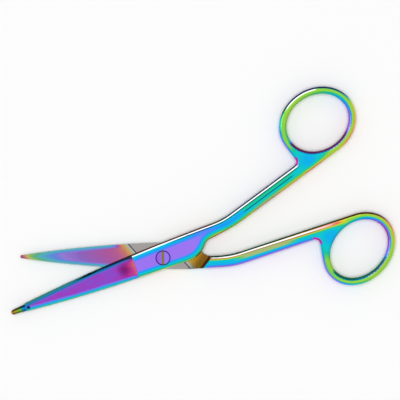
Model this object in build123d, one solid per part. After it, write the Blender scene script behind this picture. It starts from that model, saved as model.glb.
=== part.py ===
"""Angled bandage scissors, 140 mm long when closed: two forged steel halves on one slotted pivot screw.

Row frame: the scissors lie flat, +Z is up and out of the screw's head, +X runs from the blade tips to the
finger rings along the rear half's joint, and the origin is on the pivot axis at the level they lie on.

Both halves are drawn the same way, in a half frame: X from the pivot towards the ring, Y towards the outer
edge of the handle, Z from the face on which the halves slide to the outside. The front half keeps that frame
and is turned open about the pivot. The rear half is turned over about X.
"""

import os
from dataclasses import dataclass
from math import acos, asin, atan2, cos, degrees, hypot, pi, radians, sin, tan

from build123d import *

# Pose and joint
REST_OPENING = 18.9  # degrees between the halves' joint axes as they lie
LAP = 2.4  # thickness of each half at the joint
LAP_CLEARANCE = 0.02  # between the two sliding faces

# Thickness along each half, above the sliding face
TAPER_START = 17.0  # from here to the ring the handle gets thinner
TAPER_END = 82.0
RING_THICKNESS = 2.1  # half of the ring's height
CREST = -10.1  # where the ground blade face meets the full thickness
RAMP_END = -15.5
BLADE_ROOT_THICKNESS = 1.7
BLADE_TIP_THICKNESS = 1.1
EDGE_LAND = 0.2  # what is left of the thickness at the cutting edge
CUTTING_BEVEL = 30.0  # degrees from upright
SPINE_BEVEL = 38.0
HANDLE_ROUNDING = 1.15  # on the handle's, ring's and joint's long edges
BLADE_SPLIT = -17.0  # the blade is made apart from the joint and handle, and joined here

# Shoulder where the half-thick joint becomes the full-thick handle
SHOULDER_SLOPE = 53.0
SHOULDER_ROOT = 0.4  # radius at its foot

# Pivot screw
HEAD_RADIUS = 2.45
HEAD_HEIGHT = 1.3
SHANK_RADIUS = 1.7
THREAD_RADIUS = 1.35
SCREW_CLEARANCE = 0.05
RIM_CHAMFER = 0.15
SLOT_WIDTH = 0.85
SLOT_DEPTH = 0.7
SLOT_FROM_Y = 2.0  # degrees that the slot stands off the row's Y axis
PEEN_RADIUS = 1.85
PEEN_DEPTH = 0.5

# For cutting and selecting shapes
REACH = 100.0  # further from the pivot than any part of a half
NEAR = 0.01  # two places closer than this are the same

# Probe nose at the end of the front blade: a tapered pin with round ends
NOSE_ROOT_RADIUS = 1.3
NOSE_END_RADIUS = 0.88
NOSE_LENGTH = 4.75  # between the centres of the round ends
NOSE_PLACE = (-50.7, -0.88, 0.3)
NOSE_TURN = 2.0  # degrees


@dataclass
class Half:
    """Plan shape of one half in its half frame, in mm."""

    cutting_tip: tuple
    cutting_middle: tuple
    cutting_root: tuple
    spine_tip: tuple
    spine_middle: tuple
    spine_root: tuple
    tip: tuple  # middle of the rounded end, or None where a nose covers it
    outer_bends: list  # (x, y, radius) of the handle's outer edge, up to the notch beside the ring
    inner_bends: list  # (x, y, radius) of the inner edge, from the handle's bend back to the heel
    inner_heading: float  # degrees, of the straight inner edge that runs into the ring
    ring_centre: tuple
    ring_opening: tuple  # half lengths of the oval opening
    ring_outside: tuple
    ring_turn: float  # degrees from X to the oval's long axis
    shoulder: tuple  # a point on the shoulder's slope
    shoulder_corner: tuple  # where the slope turns along Y


FRONT = Half(
    cutting_tip=(-50.9, 0.62),
    cutting_middle=(-20.9, 3.82),
    cutting_root=(14.0, 5.80),
    spine_tip=(-50.9, -2.27),
    spine_middle=(-31.0, -3.45),
    spine_root=(-14.0, -3.84),
    tip=None,
    outer_bends=[(23.9, 6.1, 25.0), (55.3, 16.05, 1.8)],
    inner_bends=[(27.0, 2.25, 50.0), (16.4, 0.75, 3.7), (12.4, -3.84, 8.7)],
    inner_heading=17.7,
    ring_centre=(66.3, 27.2),
    ring_opening=(11.3, 9.5),
    ring_outside=(14.0, 12.05),
    ring_turn=13.6,
    shoulder=(14.9, 2.7),
    shoulder_corner=(16.7, 0.5),
)
REAR = Half(
    cutting_tip=(-49.2, 0.15),
    cutting_middle=(-24.4, 2.85),
    cutting_root=(3.0, 3.90),
    spine_tip=(-49.05, -0.95),
    spine_middle=(-24.4, -3.94),
    spine_root=(0.0, -5.35),
    tip=(-49.85, -0.38),
    outer_bends=[(9.0, 3.9, 30.0), (25.0, 2.98, 30.0), (54.5, -6.95, 1.8)],
    inner_bends=[(22.8, -0.85, 32.0), (15.0, -0.7, 3.7), (10.6, -5.42, 9.4)],
    inner_heading=-17.65,
    ring_centre=(68.4, -3.25),
    ring_opening=(11.25, 8.8),
    ring_outside=(14.0, 11.4),
    ring_turn=-46.3,
    shoulder=(15.25, 2.2),
    shoulder_corner=(16.6, 0.3),
)


def turned(x, y, angle):
    """The plan vector (x, y) turned about Z by an angle in degrees."""
    a = radians(angle)
    return x * cos(a) - y * sin(a), x * sin(a) + y * cos(a)


def ring_point(half, semi, angle):
    """A point of the oval at a parameter angle in radians."""
    dx, dy = turned(semi[0] * cos(angle), semi[1] * sin(angle), half.ring_turn)
    return half.ring_centre[0] + dx, half.ring_centre[1] + dy


def touching_heading(half, heading):
    """Parameter angle at which a line with that heading touches the ring's outside, the ring on its left."""
    nx, ny = turned(0.0, -1.0, heading - half.ring_turn)
    a, b = half.ring_outside
    return atan2(b * ny, a * nx)


def touching_from(half, point):
    """Parameter angle at which a line from the notch touches the ring's outside."""
    a, b = half.ring_outside
    x, y = turned(point[0] - half.ring_centre[0], point[1] - half.ring_centre[1], -half.ring_turn)
    return atan2(y / b, x / a) - acos(1 / hypot(x / a, y / b))


def plan_face(half):
    """The whole half seen from above, with the finger opening."""
    notch = half.outer_bends[-1][:2]
    end_angle = touching_from(half, notch) % (2 * pi)
    start_angle = touching_heading(half, half.inner_heading)
    outer_end = ring_point(half, half.ring_outside, end_angle)
    inner_end = ring_point(half, half.ring_outside, start_angle)
    a, b = half.ring_outside
    sweep = degrees(end_angle - start_angle) % 360
    oval = EllipticalCenterArc(
        half.ring_centre, a, b, degrees(start_angle), arc_size=sweep, rotation=half.ring_turn
    )
    outer_points = [half.cutting_root, *[p[:2] for p in half.outer_bends], outer_end]
    outer = FilletPolyline(*outer_points, radius=[p[2] for p in half.outer_bends])
    inner_points = [inner_end, *[p[:2] for p in half.inner_bends], half.spine_root]
    inner = FilletPolyline(*inner_points, radius=[p[2] for p in half.inner_bends])
    cutting = ThreePointArc(half.cutting_root, half.cutting_middle, half.cutting_tip)
    spine = ThreePointArc(half.spine_root, half.spine_middle, half.spine_tip)
    if half.tip is None:
        end = Line(half.cutting_tip, half.spine_tip)
    else:
        end = ThreePointArc(half.cutting_tip, half.tip, half.spine_tip)
    outline = Wire([*outer.edges(), oval, *inner.edges(), spine, end, cutting])
    opening = Ellipse(*half.ring_opening)
    return make_face(outline) - Pos(*half.ring_centre) * Rot(0, 0, half.ring_turn) * opening


def clipped(face, x_from, x_to):
    """The part of a plan face between two stations along the half."""
    width = x_to - x_from
    return face & Pos((x_from + x_to) / 2, 0) * Rectangle(width, 2 * REACH)


def side_solid(profile):
    """A closed side profile, with X along the half and Y as height, run across the half's whole width."""
    return extrude(Plane.XZ * profile, REACH, both=True)


def thickness_envelope():
    """Outside of the handle seen from the side: level at the joint, then thinner along one long arc."""
    back = BLADE_SPLIT - 1
    top = Line((back, LAP), (TAPER_START, LAP)) + TangentArc(
        (TAPER_START, LAP), (TAPER_END, RING_THICKNESS), tangent=(1, 0)
    )
    end = Line((TAPER_END, RING_THICKNESS), (TAPER_END, 0)) + Line((TAPER_END, 0), (back, 0))
    upper = make_face(top + end + Line((back, 0), (back, LAP)))
    solid = side_solid(upper)
    return solid + mirror(solid, Plane.XY)


def is_long_edge(edge):
    """True for the edges that run round the handle's outline, above and below."""
    middle, heading = edge @ 0.5, edge % 0.5
    upright = abs(heading.Z) > 0.9
    at_a_station = min(abs(middle.X - TAPER_START), abs(middle.X - BLADE_SPLIT)) < NEAR
    across = abs(heading.X) < NEAR and at_a_station
    level = abs(middle.Z) < NEAR
    return not (upright or across or level)


def handle(half):
    """Joint, shank and finger ring at full thickness, with rounded long edges."""
    plan = clipped(plan_face(half), BLADE_SPLIT, REACH)
    solid = extrude(plan, 2 * LAP, both=True) & thickness_envelope()
    return fillet([e for e in solid.edges() if is_long_edge(e)], HANDLE_ROUNDING)


def lap_cutter(half):
    """What is taken away so that the other half can lie against this one, ending at the shoulder."""
    corner_x, corner_y = half.shoulder_corner
    slope_x = half.shoulder[0] - (REACH - half.shoulder[1]) / tan(radians(SHOULDER_SLOPE))
    corners = [(-REACH, -REACH), (corner_x, -REACH), (corner_x, corner_y), (slope_x, REACH), (-REACH, REACH)]
    outline = Polyline(*corners, close=True)
    cutter = extrude(Pos(0, 0, LAP_CLEARANCE / 2) * make_face(outline), -2 * LAP)
    ceiling = cutter.edges().group_by(Axis.Z)[-1]
    foot = [edge for edge in ceiling if (edge @ 0.5).X > -REACH + NEAR and abs((edge % 0.5).Y) > NEAR]
    return fillet(foot, SHOULDER_ROOT)


def outer_face_cutter():
    """What is ground away outside the blade: a hollow ramp down from the joint, then a long thin taper."""
    tip = (-REACH, BLADE_TIP_THICKNESS)
    ramp_foot = (RAMP_END, BLADE_ROOT_THICKNESS)
    ramp = TangentArc(ramp_foot, (CREST, LAP), tangent=(1, 0))
    above = Polyline((CREST, LAP), (CREST, 2 * LAP), (-REACH, 2 * LAP), tip)
    return side_solid(make_face(Line(tip, ramp_foot) + ramp + above))


def circle_through(first, second, third):
    """Centre and radius of the plan circle on which three points lie."""
    arc = ThreePointArc(first, second, third)
    return arc.arc_center, arc.radius


def bevel_cutter(points, angle):
    """What is ground off along one blade edge: outside a cone through the edge, leaning in by an angle."""
    centre, radius = circle_through(*points)
    height = 2 * LAP - EDGE_LAND
    lean = height * tan(radians(angle))
    outside = radius + REACH
    section = Polyline(
        (radius, EDGE_LAND), (outside, EDGE_LAND), (outside, 2 * LAP), (radius - lean, 2 * LAP), close=True
    )
    cone = revolve(Plane.XZ * make_face(section), Axis.Z)
    beyond_crest = Pos(CREST - REACH / 2, 0, LAP) * Box(REACH, 2 * REACH, 2 * LAP)
    return Pos(centre.X, centre.Y) * cone & beyond_crest


def blade(half):
    """The thin part beyond the ramp, before its bevels are ground."""
    bottom = LAP_CLEARANCE / 2
    return extrude(Pos(0, 0, bottom) * clipped(plan_face(half), -REACH, BLADE_SPLIT), LAP - bottom)


def forged_half(half):
    """One half with its lap, ramp, blade and bevels, before the pivot hole."""
    solid = handle(half) - lap_cutter(half) + blade(half) - outer_face_cutter()
    cutting_edge = (half.cutting_root, half.cutting_middle, half.cutting_tip)
    spine = (half.spine_root, half.spine_middle, half.spine_tip)
    solid -= bevel_cutter(cutting_edge, CUTTING_BEVEL)
    solid -= bevel_cutter(spine, SPINE_BEVEL)
    return solid


def probe_nose():
    """Smooth blunt nose, round in section, that rides over the skin ahead of the blade."""
    lean = asin((NOSE_ROOT_RADIUS - NOSE_END_RADIUS) / NOSE_LENGTH)
    root = NOSE_ROOT_RADIUS * Vector(-sin(lean), cos(lean))
    end = NOSE_END_RADIUS * Vector(-sin(lean), cos(lean)) - Vector(NOSE_LENGTH, 0)
    back, front = (NOSE_ROOT_RADIUS, 0), (-NOSE_LENGTH - NOSE_END_RADIUS, 0)
    upper = TangentArc(back, root, tangent=(0, 1)) + Line(root, end)
    upper += TangentArc(end, front, tangent=end - root)
    nose = revolve(make_face(upper + Line(front, back)), Axis.X)
    return Pos(*NOSE_PLACE) * Rot(0, 0, NOSE_TURN) * nose


def screw_hole():
    """Running bore and head recess through the front half, from above."""
    radius = HEAD_RADIUS + SCREW_CLEARANCE
    recess = Pos(0, 0, LAP - HEAD_HEIGHT / 2) * Cylinder(radius, HEAD_HEIGHT)
    rim = Pos(0, 0, LAP - RIM_CHAMFER / 2) * Cone(radius, radius + RIM_CHAMFER, RIM_CHAMFER)
    bore = Cylinder(SHANK_RADIUS + SCREW_CLEARANCE, 3 * LAP)
    return recess + rim + bore


def thread_hole():
    """Hole for the screw's thread in the rear half, with a recess for its spread end."""
    recess = Pos(0, 0, LAP - PEEN_DEPTH / 2) * Cylinder(PEEN_RADIUS, PEEN_DEPTH)
    return Cylinder(THREAD_RADIUS, 3 * LAP) + recess


def pivot_screw():
    """Slotted screw, drawn in the row frame: head up, shoulder through the front half, end spread below."""
    head_bottom = 2 * LAP - HEAD_HEIGHT + LAP_CLEARANCE
    shoulder_bottom = LAP - LAP_CLEARANCE / 2
    outline = Polyline(
        (0, 0),
        (PEEN_RADIUS, 0),
        (PEEN_RADIUS, PEEN_DEPTH),
        (THREAD_RADIUS, PEEN_DEPTH),
        (THREAD_RADIUS, shoulder_bottom),
        (SHANK_RADIUS, shoulder_bottom),
        (SHANK_RADIUS, head_bottom),
        (HEAD_RADIUS, head_bottom),
        (HEAD_RADIUS, 2 * LAP - RIM_CHAMFER),
        (HEAD_RADIUS - RIM_CHAMFER, 2 * LAP),
        (0, 2 * LAP),
        close=True,
    )
    body = revolve(Plane.XZ * make_face(outline), Axis.Z)
    slot = Pos(0, 0, 2 * LAP) * Rot(0, 0, SLOT_FROM_Y) * Box(SLOT_WIDTH, 3 * HEAD_RADIUS, 2 * SLOT_DEPTH)
    return body - slot


def front_half():
    """The half on top, with the probe nose."""
    solid = forged_half(FRONT) + probe_nose() - screw_hole()
    return Pos(0, 0, LAP) * Rot(0, 0, REST_OPENING) * solid


def rear_half():
    """The half underneath, turned over, with the pointed blade."""
    solid = forged_half(REAR) - thread_hole()
    return Pos(0, 0, LAP) * Rot(180, 0, 0) * solid


NODES = {"front_half": front_half(), "rear_half": rear_half(), "pivot_screw": pivot_screw()}

os.makedirs("parts", exist_ok=True)
for name, solid in NODES.items():
    export_step(solid, f"parts/{name}.step")
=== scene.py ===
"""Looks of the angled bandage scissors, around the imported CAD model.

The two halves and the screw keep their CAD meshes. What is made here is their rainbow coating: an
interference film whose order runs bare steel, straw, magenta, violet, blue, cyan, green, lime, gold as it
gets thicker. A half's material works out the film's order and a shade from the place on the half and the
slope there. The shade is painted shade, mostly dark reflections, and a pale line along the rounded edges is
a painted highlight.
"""

import math

import bpy
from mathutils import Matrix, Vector


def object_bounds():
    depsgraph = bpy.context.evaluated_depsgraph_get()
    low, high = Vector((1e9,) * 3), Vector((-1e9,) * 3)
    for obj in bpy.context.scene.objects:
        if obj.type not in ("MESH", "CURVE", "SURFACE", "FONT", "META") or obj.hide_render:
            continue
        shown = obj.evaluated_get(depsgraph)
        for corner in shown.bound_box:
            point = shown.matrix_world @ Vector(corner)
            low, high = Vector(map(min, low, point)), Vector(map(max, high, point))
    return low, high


MM = 0.001
LAP = 2.4  # thickness of each half at the joint, mm
REST_OPENING = math.radians(18.9)  # between the halves' joint axes as they lie
SHOULDER_SLOPE = 53.0  # of the shoulder's line in plan, to the half's axis, degrees
HEEL_CUT = 0.09  # what a radius of 1 takes off the corner at the heel
CORNER = 6.0  # a smooth minimum takes a sixth of its distance off a corner

# Film colours by order, from bare steel to the second-order pink, as sRGB
FILM = [
    (0.000, (166, 158, 146)),
    (0.045, (176, 184, 190)),
    (0.085, (196, 186, 120)),
    (0.130, (222, 168, 40)),
    (0.180, (228, 118, 70)),
    (0.230, (214, 80, 128)),
    (0.275, (190, 44, 165)),
    (0.305, (168, 60, 195)),
    (0.340, (140, 80, 215)),
    (0.390, (158, 118, 245)),
    (0.440, (90, 130, 252)),
    (0.490, (20, 150, 250)),
    (0.540, (0, 180, 232)),
    (0.600, (0, 200, 205)),
    (0.660, (20, 196, 150)),
    (0.720, (90, 205, 90)),
    (0.780, (156, 212, 60)),
    (0.840, (206, 208, 60)),
    (0.900, (226, 170, 60)),
    (0.950, (225, 110, 90)),
    (1.000, (214, 70, 150)),
]
THICKEST = 0.95  # order that the outside of a half doesn't pass
PALE = (158, 150, 160)  # what a brushed face mixes into the film's colour
BRIGHT = (240, 244, 246)  # painted highlight: the pale colour mixed into the film along rounded edges where the highlight falls

# Single orders
NOTCH = 0.27  # magenta, between shank and ring
WEB = 0.535  # sky blue, where shank and ring join
CREST = 0.775  # lime, along the top of a ring
TEAL = 0.655  # between the front shank's creases
OLIVE = 0.80  # between the front shank's painted shade lines
INNER_WALL_TOP = 0.47  # blue, where the painted dark reflection on a ring's inner wall meets its crest
BLADE_EDGE = 0.58  # least on the inner face along a blade's edges
SCREW = 0.38
SLOT = 0.86

# Orders added along the edges, as (mm in from the edge, order)
JOINT_LOWER = [(0.05, 0.46), (0.3, 0.30), (0.6, 0.24), (1.1, 0.19), (1.6, 0.12), (2.3, 0.0)]
JOINT_UPPER = [(0.3, 0.25), (0.9, 0.18), (1.8, 0.15), (2.3, 0.08), (3.1, 0.0)]
BLADE_LOWER = [(0.0, 0.38), (0.25, 0.30), (0.7, 0.23), (1.1, 0.12), (1.6, 0.0)]
BLADE_UPPER = [(0.2, 0.30), (0.7, 0.26), (1.1, 0.16), (1.9, 0.0)]
# Share of the inside's thinning by mm out from a ring's opening
RING_INSIDE = [(0.0, 1.0), (0.35, 0.9), (0.7, 0.68), (1.05, 0.52), (1.3, 0.2), (1.5, 0.0)]
# Orders along a half, as (x, order): the ramp and blade, and the front half's probe nose
RAMP = [(-19.0, 0.322), (-15.5, 0.305), (-13.0, 0.28), (-11.8, 0.265), (-10.9, 0.23), (-10.1, 0.175)]
NOSE = [(-56.0, 0.92), (-55.0, 0.89), (-54.4, 0.80), (-52.8, 0.78), (-52.2, 0.56), (-50.9, 0.46)]
# Orders on the inner face, as (mm past the bare band's end, order): towards the tip, and towards the handle
LAP_FADE = [
    (-31.0, 0.97),
    (-29.7, 0.84),
    (-28.4, 0.70),
    (-26.6, 0.60),
    (-23.9, 0.52),
    (-21.4, 0.44),
    (-19.5, 0.385),
    (-14.2, 0.325),
    (-9.2, 0.285),
    (-5.0, 0.25),
    (-3.6, 0.21),
    (-2.4, 0.16),
    (-1.3, 0.11),
    (-0.7, 0.05),
    (0.0, 0.03),
]
LAP_RISE = [(0.0, 0.03), (0.8, 0.05), (1.8, 0.11), (3.2, 0.125), (6.0, 0.135)]

# Places in a half's plan
SHADED_SPOT = (-14.2, 0.4)  # painted shade: dark spot at the foot of the ramp
NOSE_SHADOW_DOT = (-50.0, -1.2)  # painted shadow: dark dot where the nose begins

# Where regions begin, as (still 0, fully 1)
PAST_HEEL = (14.0, 20.0)  # x
BLADE_FROM = (-9.95, -10.25)  # x
EDGE_SHADE_UNTIL = (-27.0, -21.0)  # x, from the tip: the painted shade along the blade's upper edge
NOSE_FROM = (-50.8, -51.1)  # x
SHANK_TO = (57.0, 53.0)  # x
RING_FROM = (50.0, 53.0)  # x
RING_BAND = (4.2, 2.9)  # mm out from the opening
RING_WALL = (1.4, 1.1)  # mm out from the opening
WEB_REACH = (9.0, 4.0)  # mm from its middle
SHADED_SPOT_REACH = (3.4, 0.4)  # mm from its middle
UPRIGHT = (0.92, 0.99)  # tilt
SHOULDER_FOOT = (5.5, 2.0)  # mm to the shoulder, painted shade dimming the wall's foot
SHOULDER_CORNER = (1.5, 0.9)  # mm to the shoulder, dark painted shade in the corner

# Bands, as (from, to, softness): mm in from the upper edge, or x
# painted highlight: the pale band along the upper edge
HIGHLIGHT_BAND = (0.52, 0.9, 0.1)
# painted shade lines standing for dark reflections along the shanks, and the teal film between them
FRONT_SHADE_LINE = (1.02, 1.28, 0.1)
REAR_SHADE_LINE = (1.02, 1.2, 0.12)
TEAL_BAND = (1.5, 2.2, 0.2)
SECOND_SHADE_LINE = (2.4, 2.55, 0.15)
SHADE_LINES_X = (33.0, 51.0, 2.0)
OLIVE_BAND = (1.4, 2.4, 0.35)
OLIVE_X = (30.0, 42.0, 6.0)

# Azimuths of the row at rest
BACK = 103.0  # of the sides that carry a painted dark reflection
BACK_INSIDE = 95.0  # of the painted dark reflection inside a ring
HIGHLIGHT_INSIDE = 140.0  # of the painted highlight inside a ring

COAT = 0.15  # of clear gloss, where the film isn't shaded
RELIEF = 0.002  # mm

FLOOR_SIZE = 3.0
FLOOR_GAP = 0.05 * MM
FLOOR_COLOUR = (0.93, 0.93, 0.93, 1)
VIEW_WIDTH = 140.0 * MM
VIEW_CENTRE = (12.9 * MM, 20.2 * MM)
CAMERA_HEIGHT = 1.2
SENSOR = 36.0

# Soft boxes as (azimuth, half width, lowest, highest) in degrees, and how bright they are
MAIN_BOX, MAIN_STRENGTH = (120.0, 27.0, 21.0, 70.0), 0.5
SIDE_BOX, SIDE_STRENGTH = (168.0, 15.0, 18.0, 60.0), 0.8
BOX_SIDE_SOFT = 0.02  # half the fade at its sides, as a cosine
BOX_END_SOFT = 0.03  # half the fade at its top and bottom, as a sine
WALLS = 0.85  # brightness of the studio in reflections, rising to 1 overhead
FILL = 0.45  # brightness of the studio as a light

# The two halves, each in its own frame, in mm and degrees. The azimuths that ring_highlight_towards and the
# ring_inside_ or ring_outside_ keys hold are the row's at rest.
#   turn, turned_over: the half's place in the row, and whether its sliding face looks up
#   cutting, spine: three points on each edge of the blade, from tip to root
#   outer_bends, inner_bends: corners of the handle's two edges from the joint on, as (x, y, radius)
#   ring_centre, ring_opening, ring_turn: the opening's middle, half-axes and the azimuth of its long axis
#   web, shoulder: middle of the web beside the ring, and a point on the shoulder's line
#   covered: azimuth across the bare band on the inner face, and where the band starts and ends along it
#   joint_end, shank_from, ring_highlight_until, edge_highlight_end: x where these fade out or in; the last
#   two end the painted highlight
#   handle, back_side: order along x, on the outer face and on the side under the painted dark reflection
#   shank_ and web_ lower, upper: order added by mm in from that edge
#   ring_back_: order on the ring's walls under the painted dark reflection
#   ring_inside_, ring_outside_: azimuth where a wall's film is thicker, thinner or cooler, and by how much
NOTHING = ((0.0, 0.0), (1.0, 0.0))
FRONT = {
    "turn": REST_OPENING,
    "turned_over": False,
    "cutting": ((-50.9, 0.62), (-20.9, 3.82), (14.0, 5.80)),
    "spine": ((-50.9, -2.27), (-31.0, -3.45), (-14.0, -3.84)),
    "outer_bends": ((23.9, 6.1, 25.0), (55.3, 16.05, 0.0)),
    "inner_bends": ((12.4, -3.84, 8.7), (16.4, 0.75, 3.7), (27.0, 2.25, 50.0), (54.8, 11.12, 0.0)),
    "ring_centre": (66.3, 27.2),
    "ring_opening": (11.3, 9.5),
    "ring_turn": 13.6,
    "web": (59.0, 16.0),
    "shoulder": (14.9, 2.7),
    "covered": (-41.9, -3.84, 5.53),
    "joint_end": (16.0, 26.0),
    "shank_from": (15.0, 22.0),
    "handle": ((10.0, 0.385), (16.0, 0.415), (21.0, 0.48), (30.0, 0.52), (40.0, 0.59), (60.0, 0.58)),
    "back_side": ((18.0, 0.96), (28.0, 0.46)),
    "shank_lower": ((0.1, 0.31), (0.3, 0.28), (0.6, 0.19), (1.0, 0.09), (1.4, 0.03), (1.9, 0.0)),
    "shank_upper": ((1.0, 0.10), (1.4, 0.07), (2.0, 0.0)),
    "web_lower": ((0.1, 0.33), (0.5, 0.22), (1.0, 0.08), (1.6, 0.0)),
    "web_upper": NOTHING,
    "ring_back_inside": 0.255,
    "ring_back_outside": 0.46,
    "ring_outside_thick": (-40.0, 0.15),
    "ring_inside_thin_towards": 150.0,
    "ring_outside_thin_towards": 230.0,
    "ring_outside_cool": (70.0, 0.22),
    "ring_highlight_towards": 124.0,
    "ring_highlight_until": (70.0, 75.0),
    "edge_highlight_end": (54.0, 55.5),
}
REAR = {
    "turn": 0.0,
    "turned_over": True,
    "cutting": ((-49.2, 0.15), (-24.4, 2.85), (3.0, 3.90)),
    "spine": ((-49.05, -0.95), (-24.4, -3.94), (0.0, -5.35)),
    "outer_bends": ((9.0, 3.9, 30.0), (25.0, 2.98, 30.0), (54.5, -6.95, 0.0)),
    "inner_bends": ((10.6, -5.42, 9.4), (15.0, -0.7, 3.7), (22.8, -0.85, 32.0), (54.0, -10.78, 0.0)),
    "ring_centre": (68.4, -3.25),
    "ring_opening": (11.25, 8.8),
    "ring_turn": -46.3,
    "web": (58.6, -7.4),
    "shoulder": (15.25, 2.2),
    "covered": (-42.0, -5.78, 4.53),
    "joint_end": (7.0, 13.0),
    "shank_from": (14.5, 16.5),
    "handle": ((8.0, 0.385), (12.0, 0.45), (14.0, 0.58), (20.0, 0.55), (30.0, 0.565), (60.0, 0.57)),
    "back_side": ((18.0, 0.66), (28.0, 0.70)),
    "shank_lower": ((0.0, -0.23), (0.3, -0.18), (0.6, -0.09), (0.9, -0.03), (1.2, 0.0)),
    "shank_upper": ((1.0, 0.37), (1.3, 0.34), (1.5, 0.22), (1.7, 0.10), (2.2, 0.0)),
    "web_lower": NOTHING,
    "web_upper": ((0.9, 0.39), (1.1, 0.32), (1.4, 0.22), (1.8, 0.08), (2.3, 0.0)),
    "ring_back_inside": 0.68,
    "ring_back_outside": 0.95,
    "ring_outside_thick": (68.0, 0.22),
    "ring_inside_thin_towards": 200.0,
    "ring_outside_thin_towards": 215.0,
    "ring_outside_cool": (-20.0, 0.0),
    "ring_highlight_towards": 105.0,
    "ring_highlight_until": (50.0, 56.0),
    "edge_highlight_end": (50.0, 66.0),
}


def linear(rgb):
    """An sRGB colour in 0 to 255 as the linear RGBA that Blender's sockets take."""
    out = [c / 255 / 12.92 if c / 255 <= 0.04045 else ((c / 255 + 0.055) / 1.055) ** 2.4 for c in rgb]
    return (*out, 1.0)


def fill_ramp(ramp, stops):
    """Gives a colour ramp these (place, RGBA) stops."""
    while len(ramp.elements) < len(stops):
        ramp.elements.new(1.0)
    for element, (place, colour) in zip(ramp.elements, stops):
        element.position, element.color = place, colour


class Field:
    """A number over the surface: a shader socket or a constant, with arithmetic that adds Math nodes."""

    def __init__(self, tree, value):
        self.tree, self.value = tree, value

    def _op(self, operation, *others):
        node = self.tree.nodes.new("ShaderNodeMath")
        node.operation = operation
        for socket, item in zip(node.inputs, (self, *others)):
            value = item.value if isinstance(item, Field) else item
            if isinstance(value, bpy.types.NodeSocket):
                self.tree.links.new(value, socket)
            else:
                socket.default_value = value
        return Field(self.tree, node.outputs[0])

    def __add__(self, other):
        return self._op("ADD", other)

    __radd__ = __add__

    def __sub__(self, other):
        return self._op("SUBTRACT", other)

    def __rsub__(self, other):
        return (self * -1) + other

    def __mul__(self, other):
        return self._op("MULTIPLY", other)

    __rmul__ = __mul__

    def __truediv__(self, other):
        return self._op("DIVIDE", other)

    def power(self, exponent):
        return self._op("POWER", exponent)

    def abs(self):
        return self._op("ABSOLUTE")

    def sqrt(self):
        return self._op("SQRT")

    def low(self, other, rounding=0.0):
        """The lower of two, with the corner between them rounded."""
        return self._op("SMOOTH_MIN", other, rounding)

    def high(self, other, rounding=0.0):
        """The higher of two, with the corner between them rounded."""
        return self._op("SMOOTH_MAX", other, rounding)

    def step(self, start, end):
        """0 before start, 1 after end, smooth between them; start may be above end."""
        node = self.tree.nodes.new("ShaderNodeMapRange")
        node.interpolation_type = "SMOOTHSTEP"
        self.tree.links.new(self.value, node.inputs["Value"])
        node.inputs["From Min"].default_value = min(start, end)
        node.inputs["From Max"].default_value = max(start, end)
        node.inputs["To Min"].default_value = 0.0 if start < end else 1.0
        node.inputs["To Max"].default_value = 1.0 if start < end else 0.0
        return Field(self.tree, node.outputs["Result"])

    def bump(self, middle, half_width):
        """1 at middle, falling smoothly to 0 at half_width either side."""
        return (self - middle).abs().step(half_width, 0.0)

    def within(self, low, high, soft):
        """1 between low and high, fading to 0 over soft outside them."""
        return self.step(low - soft, low) * self.step(high + soft, high)

    def toward(self, other, share):
        """self where share is 0, other where it is 1."""
        return self + (other - self) * share

    def curve(self, points):
        """A value looked up along self, straight between (place, value) points."""
        start, end = points[0][0], points[-1][0]
        least = min(y for _, y in points)  # a ramp holds no value below 0
        place = (self - start) / (end - start)
        stops = [((x - start) / (end - start), (y - least,) * 3 + (1.0,)) for x, y in points]
        node = self.tree.nodes.new("ShaderNodeValToRGB")
        fill_ramp(node.color_ramp, stops)
        self.tree.links.new(place.value, node.inputs[0])
        return Field(self.tree, node.outputs[0]) + least


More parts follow.
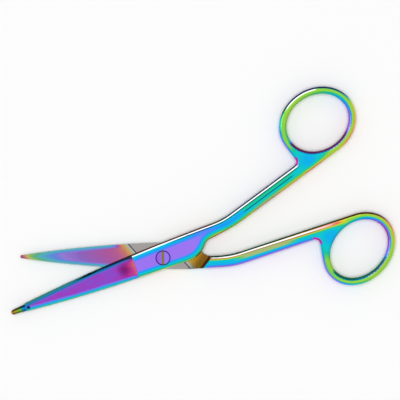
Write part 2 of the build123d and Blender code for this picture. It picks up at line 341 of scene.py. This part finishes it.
class Surface:
    """The fields that a material is made from: x towards the ring, y towards the handle's outer edge and z
    from the sliding face outwards, in the half's own frame in mm, and the normal in the frame of the row."""

    def __init__(self, name, turn=0.0, turned_over=False):
        self.material = bpy.data.materials.new(name)
        self.material.use_nodes = True
        self.tree = self.material.node_tree
        self.tree.nodes.clear()
        coords = self.tree.nodes.new("ShaderNodeTexCoord")
        self.own = self._turned(coords.outputs["Object"], -turn, 1 / MM)
        geometry = self.tree.nodes.new("ShaderNodeNewGeometry")
        local = self.tree.nodes.new("ShaderNodeVectorTransform")
        local.vector_type, local.convert_from, local.convert_to = "NORMAL", "WORLD", "OBJECT"
        self.tree.links.new(geometry.outputs["Normal"], local.inputs[0])
        flip = -1 if turned_over else 1
        x, y, z = self._split(self.own)
        self.x, self.y, self.z = x, y * flip, (z - LAP) * flip
        self.nx, self.ny, self.nz = self._split(local.outputs[0])
        self.faces_out = self.nz * flip
        self.tilt = (self.nx * self.nx + self.ny * self.ny).sqrt()

    def _turned(self, socket, angle, scale):
        node = self.tree.nodes.new("ShaderNodeMapping")
        node.vector_type = "POINT"
        node.inputs["Rotation"].default_value = (0, 0, angle)
        node.inputs["Scale"].default_value = (scale, scale, scale)
        self.tree.links.new(socket, node.inputs["Vector"])
        return node.outputs[0]

    def _split(self, socket):
        node = self.tree.nodes.new("ShaderNodeSeparateXYZ")
        self.tree.links.new(socket, node.inputs[0])
        return [Field(self.tree, out) for out in node.outputs]

    def noise(self, scale, stretch=(1, 1, 1), detail=3.0):
        """Noise from -1 to 1, scale to the mm, stretched along the half's own axes."""
        mapping = self.tree.nodes.new("ShaderNodeMapping")
        mapping.inputs["Scale"].default_value = [scale / s for s in stretch]
        self.tree.links.new(self.own, mapping.inputs["Vector"])
        node = self.tree.nodes.new("ShaderNodeTexNoise")
        node.inputs["Scale"].default_value = 1.0
        node.inputs["Detail"].default_value = detail
        self.tree.links.new(mapping.outputs[0], node.inputs["Vector"])
        return (Field(self.tree, node.outputs[0]) - 0.5) * 2

    def film(self, order):
        """The coating's colour for its order, 0 to 1."""
        node = self.tree.nodes.new("ShaderNodeValToRGB")
        fill_ramp(node.color_ramp, [(place, linear(colour)) for place, colour in FILM])
        self.tree.links.new(order.value, node.inputs[0])
        return node.outputs[0]

    def mixed(self, colour, other, share):
        """A colour socket with a share of another colour mixed in."""
        mix = self.tree.nodes.new("ShaderNodeMix")
        mix.data_type = "RGBA"
        self.tree.links.new(colour, mix.inputs["A"])
        mix.inputs["B"].default_value = linear(other)
        self.tree.links.new(share.value, mix.inputs["Factor"])
        return mix.outputs["Result"]

    def finish(self, colour, shade, roughness, relief):
        """Coated steel: film colour times shade, with a roughness, a thin gloss and a fine relief."""
        tree = self.tree
        tint = tree.nodes.new("ShaderNodeVectorMath")
        tint.operation = "SCALE"
        tree.links.new(colour, tint.inputs[0])
        tree.links.new(shade.value, tint.inputs["Scale"])
        bump = tree.nodes.new("ShaderNodeBump")
        bump.inputs["Strength"].default_value = 1.0
        bump.inputs["Distance"].default_value = RELIEF * MM
        tree.links.new(relief.value, bump.inputs["Height"])
        shader = tree.nodes.new("ShaderNodeBsdfPrincipled")
        shader.inputs["Metallic"].default_value = 1.0
        shader.inputs["Coat Roughness"].default_value = 0.08
        shader.inputs["Coat IOR"].default_value = 1.5
        tree.links.new((shade * COAT).value, shader.inputs["Coat Weight"])
        tree.links.new(tint.outputs[0], shader.inputs["Base Color"])
        tree.links.new(roughness.value, shader.inputs["Roughness"])
        tree.links.new(bump.outputs[0], shader.inputs["Normal"])
        output = tree.nodes.new("ShaderNodeOutputMaterial")
        tree.links.new(shader.outputs[0], output.inputs[0])
        return self.material


def leaning(s, azimuth):
    """How far the surface leans towards an azimuth of the row at rest, from -1 to 1."""
    angle = math.radians(azimuth)
    return s.nx * math.cos(angle) + s.ny * math.sin(angle)


def facing(s, azimuth):
    """1 where the surface, however steep, slopes straight down towards an azimuth of the row, -1 opposite."""
    return leaning(s, azimuth) / s.tilt.high(0.05)


def along(s, azimuth, through=(0.0, 0.0)):
    """Distance past a point of the half's own plan, measured towards an azimuth of its own."""
    angle = math.radians(azimuth)
    return (s.x - through[0]) * math.cos(angle) + (s.y - through[1]) * math.sin(angle)


def distance(s, place):
    """Plan distance from a point."""
    return ((s.x - place[0]).power(2.0) + (s.y - place[1]).power(2.0)).sqrt()


def inside_arc(s, points):
    """Distance in from the plan circle through three points."""
    (ax, ay), (bx, by), (cx, cy) = points
    d = 2 * (ax * (by - cy) + bx * (cy - ay) + cx * (ay - by))
    a2, b2, c2 = ax * ax + ay * ay, bx * bx + by * by, cx * cx + cy * cy
    centre_x = (a2 * (by - cy) + b2 * (cy - ay) + c2 * (ay - by)) / d
    centre_y = (a2 * (cx - bx) + b2 * (ax - cx) + c2 * (bx - ax)) / d
    radius = math.hypot(ax - centre_x, ay - centre_y)
    return radius - distance(s, (centre_x, centre_y))


def inside_bends(s, start, bends, side):
    """Distance in from a line with rounded bends; the metal is on its left where side is 1, else right."""
    points = [start, *[bend[:2] for bend in bends]]
    headings = [math.atan2(q[1] - p[1], q[0] - p[0]) for p, q in zip(points, points[1:])]
    runs = [along(s, math.degrees(h) + 90.0 * side, p) for h, p in zip(headings, points)]
    inside = runs[-1]
    for i in reversed(range(len(runs) - 1)):
        turn = (headings[i + 1] - headings[i]) * side
        rounding = CORNER * bends[i][2] * (1 / math.cos(turn / 2) - 1)
        inside = runs[i].low(inside, rounding) if turn > 0 else runs[i].high(inside, rounding)
    return inside


def oval_place(s, half, semi):
    """1 on an oval about the ring's centre, less inside it, more outside it."""
    length = along(s, half["ring_turn"], half["ring_centre"]) / semi[0]
    width = along(s, half["ring_turn"] + 90.0, half["ring_centre"]) / semi[1]
    return (length * length + width * width).sqrt()


class Places:
    """Where on a half the surface is: mm in from its edges (upper and lower as they lie, outer and inner by
    the half's own plan), mm out from the ring's opening, and its regions, from 0 to 1."""

    def __init__(self, s, half):
        cutting_root, spine_root, heel = half["cutting"][2], half["spine"][2], half["inner_bends"][0]
        outer = inside_bends(s, cutting_root, half["outer_bends"], -1)
        inner = inside_bends(s, heel[:2], half["inner_bends"][1:], 1)
        joint_back = along(s, 90.0, spine_root) + s.x.step(*PAST_HEEL) * 20.0  # no limit beyond the heel
        inner = inner.low(joint_back, HEEL_CUT * heel[2] * CORNER)
        past_cutting = s.x.step(cutting_root[0] - 1, cutting_root[0] + 1)
        past_spine = s.x.step(spine_root[0] - 1, spine_root[0] + 1)
        self.outer = inside_arc(s, half["cutting"]).toward(outer, past_cutting)
        self.inner = inside_arc(s, half["spine"]).toward(inner, past_spine)
        as_they_lie = (self.inner, self.outer) if half["turned_over"] else (self.outer, self.inner)
        self.upper, self.lower = as_they_lie
        self.ring_in = (oval_place(s, half, half["ring_opening"]) - 1) * half["ring_opening"][1]
        self.ring = self.ring_in.step(*RING_BAND) * s.x.step(*RING_FROM)
        self.ring_wall = self.ring_in.step(*RING_WALL) * self.ring
        self.web = distance(s, half["web"]).step(*WEB_REACH)
        self.shank = s.x.step(*half["shank_from"]) * s.x.step(*SHANK_TO)
        past_shoulder = along(s, 90.0 - SHOULDER_SLOPE, half["shoulder"])
        self.front = s.faces_out.step(0.0, 0.2).high(past_shoulder.step(0.0, 0.2))
        self.to_shoulder = past_shoulder * -1
        self.lap = s.z.bump(0.0, 0.12) * s.faces_out.step(-0.5, -0.8) * past_shoulder.step(0.25, 0.0)
        self.blade = s.x.step(*BLADE_FROM) * (1 - self.lap)
        # painted shade: the dark spot at the ramp's foot, a dark reflection
        self.shaded_spot = self.blade * distance(s, SHADED_SPOT).step(*SHADED_SPOT_REACH)
        self.upright = s.tilt.step(*UPRIGHT)


def ring_order(s, half, at):
    """Film on a ring: lime along its crest, other orders down its sides by the way that they face."""
    thick, amount = half["ring_outside_thick"]
    outside = facing(s, thick).high(0.0) * amount
    outside = outside - facing(s, half["ring_outside_thin_towards"]).high(0.0) * 0.40
    cool, amount = half["ring_outside_cool"]
    outside = outside - facing(s, cool).step(0.75, 0.95) * amount
    steepness = s.tilt.step(0.2, 0.75)
    thin = 0.25 + facing(s, half["ring_inside_thin_towards"]) * 0.25
    depth = at.ring_in * (1.3 - facing(s, 180.0) * 0.3)
    inside = thin * depth.curve(RING_INSIDE)
    return CREST + at.ring_in.step(0.9, 1.1) * outside * steepness - inside


def handle_order(s, half, at):
    """Film on the joint's outer face, the shank, the web and the ring."""
    joint = 1 - s.x.step(*half["joint_end"])
    borders = at.lower.curve(JOINT_LOWER) + at.upper.curve(JOINT_UPPER) * s.x.step(20.0, 8.0)
    across = at.upper.curve(half["shank_upper"]) + at.lower.curve(half["shank_lower"])
    handle = s.x.curve(half["handle"]) + borders * joint + at.shank * across
    web = WEB + distance(s, half["web"]).step(1.0, 4.2) * 0.065
    web = web + at.lower.curve(half["web_lower"]) + at.upper.curve(half["web_upper"])
    return handle.toward(ring_order(s, half, at), at.ring).toward(web, at.web)


def blade_order(s, at):
    """Film on the ground ramp and the blade's outer face, thicker along both edges."""
    streaks = s.noise(0.6, (3, 1, 1), detail=5.0) * 0.045 + s.noise(1.5, (8, 1, 1)) * 0.012
    return s.x.curve(RAMP) + streaks + at.lower.curve(BLADE_LOWER) + at.upper.curve(BLADE_UPPER)


def back_order(s, half, at):
    """Film under the painted dark reflection on the sides that face the back."""
    outside = s.x.curve(half["back_side"]) * (1 - at.ring) + half["ring_back_outside"] * at.ring
    inside = half["ring_back_inside"]
    inside = at.ring_in.step(0.45, 0.75) * (INNER_WALL_TOP - inside) + inside
    return outside.toward(inside, at.ring_wall)


def painted_dark_share(s, at):
    """Share of the painted dark reflection: 1 on the sides that face the back, with softer ends on the rings'
    upright walls.
    """
    share = (leaning(s, BACK) + at.ring * 0.08).step(0.44, 0.52)
    share = share.toward(leaning(s, BACK).step(0.05, 0.80), at.upright * at.ring)
    inside = facing(s, BACK_INSIDE)
    inside = inside.step(0.45, 0.65).toward(inside.step(0.1, 0.95), at.upright)
    return share.toward(inside * s.tilt.step(0.15, 0.28), at.ring_wall)


def blade_shade(s, at):
    """Painted shade on the ground upper edge and on the dark spot, both dark reflections, 0 to 1 and 1 where
    there is none.
    """
    # painted shade: the dark reflection along the upper edge, darkest towards the root
    ground = at.upper.step(0.55, 0.3) * s.x.step(*EDGE_SHADE_UNTIL) * 0.85
    ground = ground.high(at.upper.step(2.1, 1.3) * 0.38)
    return (1 - at.blade * 0.1) * (1 - at.blade * ground) * (1 - at.shaded_spot * 0.5)


def front_marks(s, at, order, shade):
    """The front half's painted shade lines and probe nose, with painted shade on the nose's sides and a
    painted shadow dot where it begins: its order and shade, and the share of its pale patch.
    """
    shade_lined = s.x.within(*SHADE_LINES_X)
    order = order.toward(TEAL, at.upper.within(*TEAL_BAND) * shade_lined)
    under_line = s.x.step(1.0, 9.0) * s.x.step(*SHANK_TO)
    # painted shade: dark reflection lines along the front shank
    shade_lines = at.upper.within(*FRONT_SHADE_LINE) * under_line + at.upper.within(*SECOND_SHADE_LINE) * shade_lined
    shade = shade * (1 - shade_lines * 0.85)
    nose = s.x.step(*NOSE_FROM)
    order = order.toward(s.x.curve(NOSE), nose)
    # painted shade: dark reflections on the nose's upper and lower sides
    sides = leaning(s, 110.0).step(0.15, 0.40) * 0.88 + leaning(s, -70.0).step(0.25, 0.50) * 0.7
    shade = shade * (1 - nose * sides)
    # painted shadow: a dark dot where the nose begins
    shade = shade * (1 - distance(s, NOSE_SHADOW_DOT).step(0.75, 0.4) * (1 - at.lap) * 0.9)
    patch = at.lower.within(0.0, 0.6, 0.3) * s.x.within(37.0, 44.0, 4.0)
    return order, shade, patch


def rear_marks(s, at, order, shade):
    """The rear half's painted shade line and olive patch: its order and shade, and the share of the patch."""
    patch = at.upper.within(*OLIVE_BAND) * s.x.within(*OLIVE_X) * at.shank
    order = order.toward(OLIVE, patch)
    # painted shade: a dark reflection line under the rear shank's painted highlight
    shade = shade * (1 - at.upper.within(*REAR_SHADE_LINE) * at.front * at.shank * 0.45)
    return order, shade, patch


def lap_order(s, half, at, across):
    """Film on the inner face: none in the band that the other half covered, then thicker away from it."""
    _, low, high = half["covered"]
    points = [(low + x, y) for x, y in LAP_FADE] + [(high + x, y) for x, y in LAP_RISE]
    face = across.curve(points)
    edge = at.outer.low(at.inner).step(1.5, 0.3) * across.step(low - 2.0, low - 5.5)
    striations = s.noise(0.9, (0.5, 6, 1), detail=4.0) * 0.02
    bare = across.within(low, high, 0.05)
    return (face.toward((face + 0.1).high(BLADE_EDGE), edge) + striations) * (1 - bare)


def lap_shade(s, half, at, across):
    """Shade on the inner face: lines at the bare band's ends, painted shade at the shoulder's foot, darker
    outwards from the band.
    """
    _, low, high = half["covered"]
    lines = across.within(low - 0.15, low + 0.1, 0.15) + across.within(high - 0.1, high + 0.15, 0.15)
    # painted shade: darker at the shoulder wall's foot, darkest in its corner
    foot = at.to_shoulder.step(*SHOULDER_FOOT) * (0.62 + s.noise(0.8, (0.4, 5, 1)) * 0.3)
    foot = foot.high(at.to_shoulder.step(*SHOULDER_CORNER) * 0.95)
    shade = (1 - lines * 0.85) * (1 - foot) * (1 - across.within(low, high, 0.1) * 0.04)
    shade = shade * (1 - across.step(high, high + 1.5) * 0.3)
    shade = shade * (1 - across.step(low, low - 3.0) * 0.13)
    return shade * (1 - across.step(low - 29.5, low - 31.0) * 0.4)


def painted_highlight(s, half, at):
    """Share of the painted highlight, a pale line: along the upper edge by place, and on the rings by slope.
    """
    line = at.upper.within(*HIGHLIGHT_BAND) * (1 - s.x.step(*half["edge_highlight_end"])) * at.front
    outside = facing(s, half["ring_highlight_towards"]).step(0.88, 0.93) * (1 - s.x.step(*half["ring_highlight_until"]))
    inside = s.tilt.within(0.10, 0.22, 0.03) * facing(s, HIGHLIGHT_INSIDE).step(0.88, 0.96)
    on_ring = (s.tilt.within(0.21, 0.45, 0.03) * outside).toward(inside, at.ring_wall)
    return line.toward(on_ring, at.ring) * (1 - at.blade) * (1 - at.lap)


def coated_half(name, half):
    """One half's material."""
    s = Surface(name, half["turn"], half["turned_over"])
    at = Places(s, half)
    azimuth, _, high = half["covered"]
    across = along(s, azimuth)

    # the forging's outside
    order = handle_order(s, half, at).toward(blade_order(s, at), at.blade) - at.shaded_spot * 0.01
    notch = distance(s, half["outer_bends"][-1]).step(2.8, 1.7) * s.nz.abs().step(0.995, 0.94)
    order = order.toward(NOTCH, notch * (1 - at.upright * 0.6))
    # share of the painted dark reflection on the sides that face the back
    back = painted_dark_share(s, at)
    order = order.toward(back_order(s, half, at), back * (1 - at.blade))
    wander = s.noise(0.09, (1.5, 1, 1), detail=1.0) * 0.13 + s.z * 0.035
    order = order + wander * at.upright * (1 - at.blade)
    # painted shade: dark reflections on the sides that face the back, weaker on the blade, the rings' inner
    # walls and upright walls
    shade = 1 - back * (0.90 - at.blade * 0.50 - at.ring_wall * 0.16) * (1 - at.upright * 0.35)
    shade = shade * blade_shade(s, at)
    # painted shade: a dark reflection line round the inside of the ring
    rim_shade = at.ring_in.within(1.05, 1.2, 0.15) * facing(s, 180.0).step(0.4, 0.7) * at.ring
    shade = shade * (1 - rim_shade * 0.6)
    marks = rear_marks if half["turned_over"] else front_marks
    order, shade, patch = marks(s, at, order, shade)

    # the inner face
    order = order.low(THICKEST).toward(lap_order(s, half, at, across), at.lap)
    shade = shade.toward(lap_shade(s, half, at, across), at.lap)

    colour = s.mixed(s.film(order), PALE, at.lap * across.step(high + 1.0, high) * 0.3)
    colour = s.mixed(colour, PALE, patch * 0.45)
    # painted highlight: the pale line mixed into the film where the highlight falls
    colour = s.mixed(colour, BRIGHT, painted_highlight(s, half, at))
    smooth = s.noise(1.2, (8, 1, 1)) * 0.03 + 0.10
    brushed = s.noise(1.0, (0.25, 12, 1)) * 0.05 + 0.18
    return s.finish(colour, shade, smooth.toward(brushed, at.lap), s.noise(5.0, (0.35, 12, 1)))


def coated_screw():
    """The screw's material: violet, with painted shade in the groove round the head and a gold slot darkened
    by painted shade.
    """
    s = Surface("coated_screw")
    slot = s.z.step(LAP - 0.15, LAP - 0.4)
    order = (SCREW + s.x * 0.012 + (1 - s.nz.abs()) * 0.1).toward(SLOT, slot)
    rim_shade = (s.x * s.x + s.y * s.y).sqrt().within(2.28, 3.0, 0.08)
    # painted shade: dark in the groove round the head and in the slot
    shade = (1 - slot * 0.65) * (1 - rim_shade * 0.8)
    rough = s.noise(1.2) * 0.05 + 0.2
    return s.finish(s.film(order), shade, rough, s.noise(6.0))


def paint(obj, material):
    obj.data.materials.clear()
    obj.data.materials.append(material)


def floor(height):
    """A plain pale floor just below this height, in metres."""
    mesh = bpy.data.meshes.new("floor")
    half = FLOOR_SIZE / 2
    corners = [(-half, -half, 0), (half, -half, 0), (half, half, 0), (-half, half, 0)]
    mesh.from_pydata(corners, [], [(0, 1, 2, 3)])
    obj = bpy.data.objects.new("floor", mesh)
    bpy.context.scene.collection.objects.link(obj)
    obj.location.z = height - FLOOR_GAP
    material = bpy.data.materials.new("floor")
    material.use_nodes = True
    shader = material.node_tree.nodes["Principled BSDF"]
    shader.inputs["Base Color"].default_value = FLOOR_COLOUR
    shader.inputs["Roughness"].default_value = 0.9
    mesh.materials.append(material)


def area_light(name, place, aim, size, power):
    """A soft box at place, turned towards aim, in metres and watts."""
    data = bpy.data.lights.new(name, "AREA")
    data.shape = "RECTANGLE"
    data.size, data.size_y = size
    data.energy = power
    obj = bpy.data.objects.new(name, data)
    bpy.context.scene.collection.objects.link(obj)
    obj.location = place
    obj.rotation_euler = (Vector(aim) - Vector(place)).to_track_quat("-Z", "Y").to_euler()
    return obj


def soft_box(direction, azimuth, half_width, low, high):
    """1 where a direction lies in a soft box's azimuth and height, 0 elsewhere, in degrees."""
    x, y, z = direction
    angle = math.radians(azimuth)
    flat = (x * x + y * y).sqrt().high(0.001)
    towards = (x * math.cos(angle) + y * math.sin(angle)) / flat
    edge = math.cos(math.radians(half_width))
    sides = towards.step(edge - BOX_SIDE_SOFT, edge + BOX_SIDE_SOFT)
    low, high = math.sin(math.radians(low)), math.sin(math.radians(high))
    above = z.step(low - BOX_END_SOFT, low + BOX_END_SOFT)
    below = z.step(high + BOX_END_SOFT, high - BOX_END_SOFT)
    return sides * above * below


def lights():
    """A pale studio: one soft light overhead, walls that are bright where the camera and the metal see them
    and dimmer as a light, and two soft boxes that show only in the metal's first reflection."""
    world = bpy.data.worlds.new("studio")
    bpy.context.scene.world = world
    world.use_nodes = True
    tree = world.node_tree
    coords = tree.nodes.new("ShaderNodeTexCoord")
    split = tree.nodes.new("ShaderNodeSeparateXYZ")
    tree.links.new(coords.outputs["Generated"], split.inputs[0])
    direction = [Field(tree, out) for out in split.outputs]
    path = {out.name: Field(tree, out) for out in tree.nodes.new("ShaderNodeLightPath").outputs}
    on_metal = path["Is Glossy Ray"] * path["Diffuse Depth"].step(1.0, 0.0)
    overhead = direction[2].step(0.70, 0.92)
    walls = (WALLS + overhead * (1 - WALLS)) * on_metal.high(path["Is Camera Ray"])
    boxes = soft_box(direction, *MAIN_BOX) * MAIN_STRENGTH + soft_box(direction, *SIDE_BOX) * SIDE_STRENGTH
    strength = walls.high(FILL) + boxes * on_metal * path["Glossy Depth"].step(2.0, 1.0)
    background = tree.nodes["Background"]
    background.inputs["Color"].default_value = (1, 1, 1, 1)
    tree.links.new(strength.value, background.inputs["Strength"])
    top = area_light("overhead", (0.0, 0.0, 1.5), (0, 0, 0), (0.7, 0.7), 14.5)
    top.visible_glossy = False


def camera():
    """Straight down, far enough away that the view is nearly parallel."""
    data = bpy.data.cameras.new("camera")
    data.sensor_width = SENSOR
    data.lens = SENSOR * CAMERA_HEIGHT / VIEW_WIDTH
    obj = bpy.data.objects.new("camera", data)
    bpy.context.scene.collection.objects.link(obj)
    obj.location = (*VIEW_CENTRE, CAMERA_HEIGHT)
    bpy.context.scene.camera = obj


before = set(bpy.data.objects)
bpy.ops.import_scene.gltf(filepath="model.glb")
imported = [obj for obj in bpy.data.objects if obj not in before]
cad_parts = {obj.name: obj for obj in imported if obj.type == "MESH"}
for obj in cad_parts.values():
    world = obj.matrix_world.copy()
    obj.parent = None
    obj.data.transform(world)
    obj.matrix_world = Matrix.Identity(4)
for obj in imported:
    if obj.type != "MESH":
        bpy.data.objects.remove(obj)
cad_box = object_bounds()
bpy.context.scene.view_settings.view_transform = "Standard"
paint(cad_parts["front_half"], coated_half("coated_front", FRONT))
paint(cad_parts["rear_half"], coated_half("coated_rear", REAR))
paint(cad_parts["pivot_screw"], coated_screw())
floor(cad_box[0][2])
lights()
camera()
